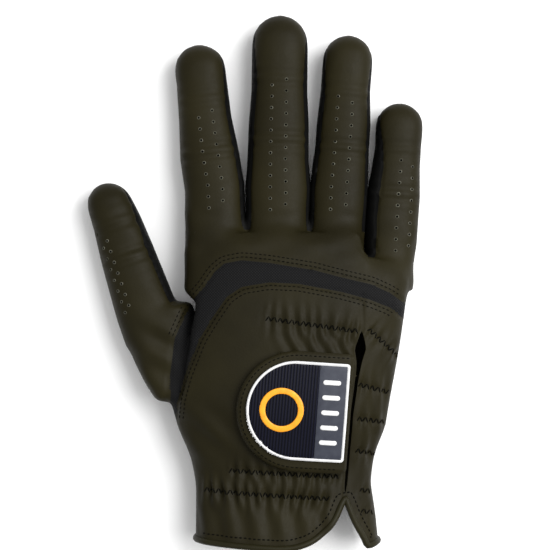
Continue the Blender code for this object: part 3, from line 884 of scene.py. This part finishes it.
def sew(work, surface, start, end, thick=0.26, sink=0.05):
    """One stitch from start to end, as a small capsule bedded in the surface."""
    middle = (start + end) / 2
    place, normal = surface.at(*middle)
    if place is None:
        return
    ahead, _ = surface.at(*end)
    if ahead is None or abs((ahead - place).z) > 0.003:
        return
    along = (ahead - place).normalized()
    across = normal.cross(along).normalized()
    up = along.cross(across)
    length = float(np.hypot(*(end - start))) / 2
    turn = Matrix((along, across, up)).transposed().to_4x4()
    size = Matrix.Diagonal((length * MM, thick * MM, thick * MM, 1))
    where = Matrix.Translation(place + normal * sink * MM)
    bmesh.ops.create_uvsphere(work, u_segments=6, v_segments=4, radius=1.0, matrix=where @ turn @ size)


def stitch_row(work, surface, points, length=1.35, gap=0.5, thick=0.22):
    steps = resampled(points, length + gap)
    for here, there in zip(steps, steps[1:]):
        direction = (there - here) / np.hypot(*(there - here))
        sew(work, surface, here, here + direction * length, thick)


def zigzag_row(work, surface, start, end, pitch=2.3, height=1.15):
    start, end = np.array(start, float), np.array(end, float)
    length = np.hypot(*(end - start))
    along = (end - start) / length
    across = np.array((-along[1], along[0]))
    count = int(length / pitch * 2)
    turns = [
        start + along * length * turn / count + across * height * (1 if turn % 2 else -1)
        for turn in range(count + 1)
    ]
    for here, there in zip(turns, turns[1:]):
        sew(work, surface, here, there, 0.3, 0.15)


def moved_line(points, off):
    """The line through points, moved sideways: to the left of its direction if off is above 0."""
    points = resampled(points, 1.5)
    direction = np.gradient(points, axis=0)
    direction /= np.hypot(*direction.T)[:, None]
    return points + off * np.column_stack((-direction[:, 1], direction[:, 0]))


# ---------------------------------------------------------------- tab and badge

TAB_AT = np.array(TAB_ROOT)
TAB_OUT = np.array((-cos(radians(TAB_TURN)), -sin(radians(TAB_TURN))))
TAB_SIDE = np.array((TAB_OUT[1], -TAB_OUT[0]))


def on_tab(u, v):
    """Plan place of a point a distance out from the tab's root and up along it."""
    return TAB_AT + TAB_OUT * u + TAB_SIDE * v


def round_ended(u, v, length, width, corner=2.0, middle=0.0, root=0.0):
    """Distance outside a tab shape with a half-round end and small root corners. Below 0 is inside."""
    radius = width / 2
    v = v - middle
    u = u - root
    end = np.hypot(np.maximum(u - (length - radius), 0), v) - radius
    side = np.hypot(np.maximum(corner - u, 0), np.maximum(np.abs(v) - (radius - corner), 0)) - corner
    return np.where(u > length - radius, end, np.where(u < corner, side, np.abs(v) - radius))


HEIGHT_OFF_HAND = 20.0
SHARP_EDGE = 50


def plate(name, surface, shape, span, lift, thickness, edge=0.4, step=0.9, crown=0.0):
    """A sheet in the tab's outline, following the hand, with its edges rounded over."""
    (low_u, high_u), (low_v, high_v) = span
    columns = int((high_u - low_u) / step)
    rows = int((high_v - low_v) / step)
    work = bmesh.new()
    bmesh.ops.create_grid(work, x_segments=columns, y_segments=rows, size=0.5)
    bmesh.ops.triangulate(work, faces=work.faces[:])
    mesh = bpy.data.meshes.new(name)
    work.to_mesh(mesh)
    work.free()
    grid = np.array([vertex.co[:2] for vertex in mesh.vertices], float) + 0.5
    grid = grid * (high_u - low_u, high_v - low_v) + (low_u, low_v)
    edges = np.array([side.vertices[:] for side in mesh.edges])
    for _ in range(2):
        values = shape(grid[:, 0], grid[:, 1])
        first, second = edges[:, 0], edges[:, 1]
        cross = values[first] * values[second] < 0
        first, second = first[cross], second[cross]
        share = values[first] / (values[first] - values[second])
        near = np.where(share < 0.5, first, second)
        grid[near] = grid[first] + (grid[second] - grid[first]) * share[:, None]
    values = shape(grid[:, 0], grid[:, 1])
    inside = np.clip(-values, 0, edge)
    drop = edge - np.sqrt(np.maximum(0, edge ** 2 - (edge - inside) ** 2))
    swell = crown * smoothstep(0, 5, -values)
    for vertex, (u, v), low, high in zip(mesh.vertices, grid, drop, swell):
        x, y = on_tab(u, v)
        place, _ = surface.at(x, y)
        height = place.z / MM if place is not None else HEIGHT_OFF_HAND
        height += lift + thickness - low + high
        vertex.co = ((x + OFFSET[0]) * MM, (y + OFFSET[1]) * MM, height * MM)
    work = bmesh.new()
    work.from_mesh(mesh)
    work.faces.ensure_lookup_table()
    work.verts.ensure_lookup_table()
    outside = [face for face in work.faces if np.mean([values[v.index] for v in face.verts]) > 1e-4]
    bmesh.ops.delete(work, geom=outside, context="FACES")
    if sum(face.normal.z for face in work.faces) < 0:
        bmesh.ops.reverse_faces(work, faces=work.faces[:])
    made = bmesh.ops.extrude_face_region(work, geom=work.faces[:])
    moved = [item for item in made["geom"] if isinstance(item, bmesh.types.BMVert)]
    bmesh.ops.translate(work, verts=moved, vec=(0, 0, -(thickness - edge) * MM))
    bmesh.ops.recalc_face_normals(work, faces=work.faces[:])
    bpy.data.meshes.remove(mesh)
    piece = linked(name, work)
    piece.data.set_sharp_from_angle(angle=radians(SHARP_EDGE))
    return piece


BADGE_AT = (1.5, 0.4)
BADGE_SPAN = (40.0, 39.4)
PAD_SPAN = (36.0, 36.0)
PAD_FROM_ROOT = 6.0
RING_FROM_ROOT = 26.0
RING_RADIUS = 7.6
RING_HALF_WIDTH = 1.15
BARS = 5
BAR_STEP = 6.0
FIRST_BAR = -12.0
BAR_FROM_ROOT = 6.8
BAR_HALF_LENGTH = 2.6
BAR_HALF_WIDTH = 0.95


def tab_pieces(surface):
    span = ((-1.5, TAB_LENGTH + 1.5), (-TAB_WIDTH / 2 - 1.5, TAB_WIDTH / 2 + 1.5))

    def tab_shape(u, v):
        return round_ended(u, v, TAB_LENGTH, TAB_WIDTH)

    def pad_shape(u, v):
        return round_ended(u, v, *PAD_SPAN, root=PAD_FROM_ROOT)

    root, middle = BADGE_AT
    length, width = BADGE_SPAN

    def badge_shape(u, v):
        return round_ended(u, v, length, width, 1.2, middle, root)

    def border_shape(u, v):
        outer = badge_shape(u, v)
        return np.maximum(outer, -outer - BADGE_BORDER)

    def face_shape(u, v):
        return np.maximum(badge_shape(u, v) + BADGE_BORDER - 0.1, root + STRIP_WIDTH - u)

    def strip_shape(u, v):
        return np.maximum(badge_shape(u, v) + BADGE_BORDER - 0.1, u - root - STRIP_WIDTH + 0.15)

    lift = TAB_LIFT
    base_up = lift + 0.9 + TAB_THICKNESS
    face_up = lift + 1.5 + TAB_THICKNESS
    # Name, outline, height over the hand, thickness, look, body, nodes that it stands for
    pieces = [
        ("loop_pad_fuzz", pad_shape, 0.75, 0.6, "hook_loop", "hand", ("loop_pad",)),
        ("hook_pad_tape", pad_shape, lift, 0.7, "hook_loop", "tab", ("hook_pad",)),
        ("tab_hide", tab_shape, lift + 0.8, TAB_THICKNESS, "leather", "tab", ("tab_leather", "tab_lining")),
        ("badge_backing", badge_shape, base_up, 0.6, "badge_strip", "tab", ("badge_base",)),
        ("badge_rim", border_shape, face_up, 0.8, "badge_border", "tab", ()),
        ("badge_navy_face", face_shape, face_up, 0.45, "badge_face", "tab", ("badge_face",)),
        ("badge_grey_strip", strip_shape, face_up, 0.5, "badge_strip", "tab", ("badge_strip",)),
    ]
    made = {}
    for name, shape, up, thickness, look, body, nodes in pieces:
        fine = 0.45 if name == "badge_rim" else 0.9
        edge = min(0.9, thickness * 0.45)
        piece = plate(name, surface, shape, span, up, thickness, edge=edge, step=fine)
        dress(piece, look)
        if nodes:
            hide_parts(*nodes)
        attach(piece, body)
        made[name] = piece
    motif_height = lift + 1.9 + TAB_THICKNESS
    ring_at = (RING_FROM_ROOT + root, middle)

    def ring_shape(u, v):
        return np.abs(np.hypot(u - ring_at[0], v - ring_at[1]) - RING_RADIUS) - RING_HALF_WIDTH

    around = RING_RADIUS + 2.4
    near = ((ring_at[0] - around, ring_at[0] + around), (ring_at[1] - around, ring_at[1] + around))
    ring = plate("badge_ring", surface, ring_shape, near, motif_height, 0.6, edge=0.25, step=0.35)
    dress(ring, "badge_motif")
    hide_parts("badge_motif")
    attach(ring, "tab")
    for number in range(BARS):
        centre = FIRST_BAR + BAR_STEP * number + middle

        def bar_shape(u, v, centre=centre):
            past_end = np.maximum(np.abs(u - root - BAR_FROM_ROOT) - BAR_HALF_LENGTH, 0)
            return np.hypot(past_end, v - centre) - BAR_HALF_WIDTH

        near = ((root + 2.0, root + 11.5), (centre - 2, centre + 2))
        name = f"strip_bar_{number + 1}"
        bar = plate(name, surface, bar_shape, near, motif_height, 0.45, edge=0.2, step=0.3)
        dress(bar, "badge_border")
        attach(bar, "tab")
    return made


# ---------------------------------------------------------------- stitches and holes

# Rows of thread, by their distance from the border that they follow
SEAM_ROWS = (1.3, 2.9)
HEM_ROW = 3.3
TAB_ROW = 1.6


def seam_stitches(surface):
    work = bmesh.new()
    low = [(x, border(BAND_LOWER)(x)) for x in np.arange(-31.5, 59, 1.0)]
    high = [(x, border(BAND_UPPER)(x)) for x in np.arange(-31.8, 60, 1.0)]
    for off in SEAM_ROWS:
        stitch_row(work, surface, moved_line(low, -off))
    for off in SEAM_ROWS:
        stitch_row(work, surface, moved_line(high, off))
    hem = [(x, border(HEM)(x)) for x in np.arange(-21, 49.5, 0.7)]
    stitch_row(work, surface, moved_line(hem, HEM_ROW), thick=0.3)
    rows = dress(linked("seam_stitches", work), "thread")
    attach(rows, "hand")
    work = bmesh.new()
    for start, end, _, _ in GATHERS:
        zigzag_row(work, surface, start, end)
    rows = dress(linked("zigzag_stitches", work), "thread")
    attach(rows, "hand")


def tab_stitches(tab):
    surface = Surface([tab.data])
    work = bmesh.new()
    radius = TAB_WIDTH / 2 - TAB_ROW
    end = TAB_LENGTH - TAB_WIDTH / 2
    outline = [on_tab(u, radius) for u in np.arange(2, end, 2.0)]
    outline += [on_tab(end + radius * sin(a), radius * cos(a)) for a in np.arange(0, pi, 0.06)]
    outline += [on_tab(u, -radius) for u in np.arange(end, 2, -2.0)]
    stitch_row(work, surface, outline)
    rows = dress(linked("tab_stitches", work), "thread")
    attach(rows, "tab")


# Where the holes start and end along each digit, and its two columns across
HOLE_ROWS = {
    "index": (9.0, 50.0, (-2.2, 3.4)), "middle": (8.0, 62.0, (-3.0, 2.8)), "ring": (8.0, 56.0, (-3.2, 2.6)),
    "little": (4.0, 42.0, (1.2, 6.0)), "thumb": (2.0, 34.0, (-7.6, -5.2)),
}


HOLE_PITCH = 4.6
HOLE_RADIUS = 0.46
HOLE_FLOOR = 0.3
HOLE_DEPTH = 0.3
HOLE_SINK = 0.09
# The raised ring round each hole, whose light colour is a painted highlight on the hole's edge
RIM_RADIUS = 0.74
RIM_INNER = 0.5
RIM_DEPTH = 0.16
RIM_LIFT = 0.03
RIM_THICKNESS = 0.06


def vents(name, surface):
    """Two staggered columns of small holes along the back of a digit: near-black cones of painted shade in
    each hole, ringed by raised rims coloured light as painted highlights.
    """
    start, end, columns = HOLE_ROWS[name]
    base, along, across = FRAMES[name]
    work = bmesh.new()
    highlight_rims = bmesh.new()
    for side, off in enumerate(columns):
        for run in np.arange(start + side * HOLE_PITCH / 2, end, HOLE_PITCH):
            spot = base + along * run + across * off
            place, normal = surface.at(spot[0] - OFFSET[0], spot[1] - OFFSET[1])
            if place is None:
                continue
            turn = Matrix.Translation(place) @ normal.to_track_quat("Z", "Y").to_matrix().to_4x4()
            bmesh.ops.create_cone(
                work, cap_ends=True, segments=10, radius1=HOLE_FLOOR * MM, radius2=HOLE_RADIUS * MM,
                depth=HOLE_DEPTH * MM, matrix=turn @ Matrix.Translation((0, 0, -HOLE_SINK * MM)))
            bmesh.ops.create_cone(
                highlight_rims, cap_ends=False, segments=12, radius1=RIM_RADIUS * MM, radius2=RIM_INNER * MM,
                depth=RIM_DEPTH * MM, matrix=turn @ Matrix.Translation((0, 0, RIM_LIFT * MM)))
    piece = linked(name + "_vents", work, smooth=False)
    dress(piece, "hole")
    bend(piece, name)
    bmesh.ops.solidify(highlight_rims, geom=highlight_rims.faces[:], thickness=RIM_THICKNESS * MM)
    bmesh.ops.recalc_face_normals(highlight_rims, faces=highlight_rims.faces[:])
    piece = linked(name + "_vent_highlight_rims", highlight_rims, smooth=False)
    dress(piece, "hole_rim")
    bend(piece, name)


def bend(piece, name):
    """Fits a piece to its digit."""
    base, along, across = FRAMES[name]
    length, half_width, _ = SIZES[name]
    table = np.array(DIGIT_FIT[name])
    points = vertex_array(piece.data)
    run = (points - base) @ along / length
    side = (points - base) @ across
    move = np.interp(run, table[:, 0], table[:, 1])
    move += np.interp(run, table[:, 0], table[:, 2]) * side / half_width
    write_points(piece.data, points + move[:, None] * across)
    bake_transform(piece)


# ---------------------------------------------------------------- assembling

PANEL_NODES = {
    "back_leather": ("back_panel", "wrist_side_wall"),
    "band": ("knuckle_band",),
    "finger_back_leather": ("finger_back_panel", "index_side_wall", "knuckle_side_wall"),
    "side_leather": ("little_side_panel",),
    "thumb_root_leather": ("thumb_root_back", "thumb_root_side"),
    "palm_leather": ("palm_panel", "thumb_root_palm"),
}
PANEL_LOOKS = {"palm_leather": "palm_leather", "band": "band_fabric"}


ROLL_RADIUS = 1.3
ROLL_LOWEST = 1.35


def hem_binding(mesh):
    """A rolled binding along the whole cuff edge and up both sides of its notch."""
    centres = np.empty(len(mesh.polygons) * 3)
    mesh.polygons.foreach_get("center", centres)
    names = regions(centres.reshape(-1, 3) / MM)
    work = bmesh.new()
    work.from_mesh(mesh)
    work.faces.ensure_lookup_table()
    spare = [face for face, gone in zip(work.faces, names == "") if gone]
    bmesh.ops.delete(work, geom=spare, context="FACES")
    rim = [edge for edge in work.edges if edge.is_boundary]
    ways = {}
    for edge in rim:
        for vertex in edge.verts:
            ways.setdefault(vertex, []).append(edge.other_vert(vertex))
    longest = []
    left = set(ways)
    while left:
        start = min(left, key=lambda vertex: vertex.index)
        line = [start]
        left.discard(start)
        while True:
            ahead = [vertex for vertex in ways[line[-1]] if vertex in left]
            if not ahead:
                break
            line.append(ahead[0])
            left.discard(ahead[0])
        if len(line) > len(longest):
            longest = line
    points = np.array([vertex.co for vertex in longest], float)
    work.free()
    for _ in range(4):
        points = (np.roll(points, 1, 0) + 2 * points + np.roll(points, -1, 0)) / 4
    points = points[::2]
    points[:, 2] = np.maximum(points[:, 2], ROLL_LOWEST * MM)
    curve = bpy.data.curves.new("cuff_roll", "CURVE")
    curve.dimensions = "3D"
    curve.bevel_depth = ROLL_RADIUS * MM
    curve.bevel_resolution = 3
    spline = curve.splines.new("POLY")
    spline.points.add(len(points) - 1)
    spline.use_cyclic_u = True
    for point, place in zip(spline.points, points):
        point.co = (*place, 1)
    maker = bpy.data.objects.new("cuff_roll_line", curve)
    bpy.context.scene.collection.objects.link(maker)
    graph = bpy.context.evaluated_depsgraph_get()
    roll = bpy.data.meshes.new_from_object(maker.evaluated_get(graph))
    bpy.data.objects.remove(maker)
    roll.name = "cuff_roll"
    roll.shade_smooth()
    made = bpy.data.objects.new("cuff_roll", roll)
    bpy.context.scene.collection.objects.link(made)
    dress(made, "binding")
    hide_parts("cuff_binding", "slit_binding_back", "slit_binding_side")
    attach(made, "hand")


DIGIT_PANEL_NODES = {
    "back_leather": "_back", "palm_leather": "_palm_side", "right_wall": "_little_side_wall",
    "left_wall": "_thumb_side_wall",
}
OUTER_WALLS = (("index", "left_wall"), ("little", "right_wall"), ("thumb", "left_wall"))


def dress_panels(pieces):
    """Gives each panel its finish and the nodes that it stands for, and the hand's panels their body."""
    for name, piece in pieces.items():
        digit = name.split("_")[0]
        if name in PANEL_NODES:
            dress(piece, PANEL_LOOKS.get(name, "leather"))
            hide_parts(*PANEL_NODES[name])
            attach(piece, "hand")
        elif digit in DIGITS:
            part = name[len(digit) + 1:]
            # Walls between digits take the near-black look, which is painted shade between the fingers; the
            # outer walls keep the plain leather
            dark = "wall" in part and (digit, part) not in OUTER_WALLS
            look = "side_leather" if dark else "palm_leather" if part == "palm_leather" else "leather"
            dress(piece, look)
            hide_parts(digit + DIGIT_PANEL_NODES[part])
            bend(piece, digit)


def dress_frame_nodes():
    """The inner pieces of the frame keep their shape and get a cloth finish."""
    looks = {"knuckle_elastic": "elastic", "wrist_elastic": "elastic", "side_elastic": "elastic"}
    looks["size_label"] = "label_cloth"
    for name, look in looks.items():
        node = frame["nodes"][name]
        node.data.materials.clear()
        node.data.materials.append(LOOKS[look])


FLOOR_GAP = 0.0005


def studio():
    """A pale floor, a soft light from the right, a weaker one from the left and one overhead."""
    work = bmesh.new()
    bmesh.ops.create_grid(work, x_segments=1, y_segments=1, size=2.0)
    floor = linked("floor", work)
    floor.location.z = -FLOOR_GAP
    pale = bpy.data.materials.new("pale_floor")
    pale.use_nodes = True
    shader = pale.node_tree.nodes["Principled BSDF"]
    shader.inputs["Base Color"].default_value = (0.97, 0.97, 0.97, 1)
    shader.inputs["Roughness"].default_value = 0.9
    floor.data.materials.append(pale)
    for name, place, size, power in (
        ("key", (0.6, 0.2, 0.85), 0.8, 15.0),
        ("fill", (-0.7, -0.3, 0.7), 0.8, 0.8),
        ("overhead", (0.1, 0.4, 1.5), 1.6, 8.0),
    ):
        light = bpy.data.lights.new(name, "AREA")
        light.size = size
        light.energy = power
        made = bpy.data.objects.new(name, light)
        made.location = place
        made.rotation_euler = (-Vector(place)).to_track_quat("-Z", "Y").to_euler()
        bpy.context.scene.collection.objects.link(made)
    world = bpy.data.worlds.new("studio")
    world.use_nodes = True
    world.node_tree.nodes["Background"].inputs["Color"].default_value = (1, 1, 1, 1)
    world.node_tree.nodes["Background"].inputs["Strength"].default_value = 0.42
    bpy.context.scene.world = world
    bpy.context.scene.view_settings.view_transform = "Standard"


# The middle of the view in the plan numbers, its width, and the lens
VIEW_CENTRE = (8.4, 1.64)
VIEW_WIDTH = 222.5
LENS = 110.0
CAMERA_RISE = 0.02


def camera():
    """Straight down on the back of the hand, with the fingers towards the top of the view."""
    lens = bpy.data.cameras.new("camera")
    lens.lens = LENS
    view = bpy.data.objects.new("camera", lens)
    across = VIEW_WIDTH * MM
    distance = across * lens.lens / lens.sensor_width
    x, y = (np.array(VIEW_CENTRE) + OFFSET) * MM
    view.location = (x, y, distance + CAMERA_RISE)
    bpy.context.scene.collection.objects.link(view)
    bpy.context.scene.camera = view


def build_glove():
    form = glove_form()
    smooth_surface = Surface([form])
    shape_skin(form)
    surface = Surface([form])
    dress_panels(region_meshes(form))
    hem_binding(form)
    tab = tab_pieces(smooth_surface)
    tab_stitches(tab["tab_hide"])
    seam_stitches(surface)
    for name in DIGITS:
        vents(name, surface)
    dress_frame_nodes()


build_glove()
studio()
camera()
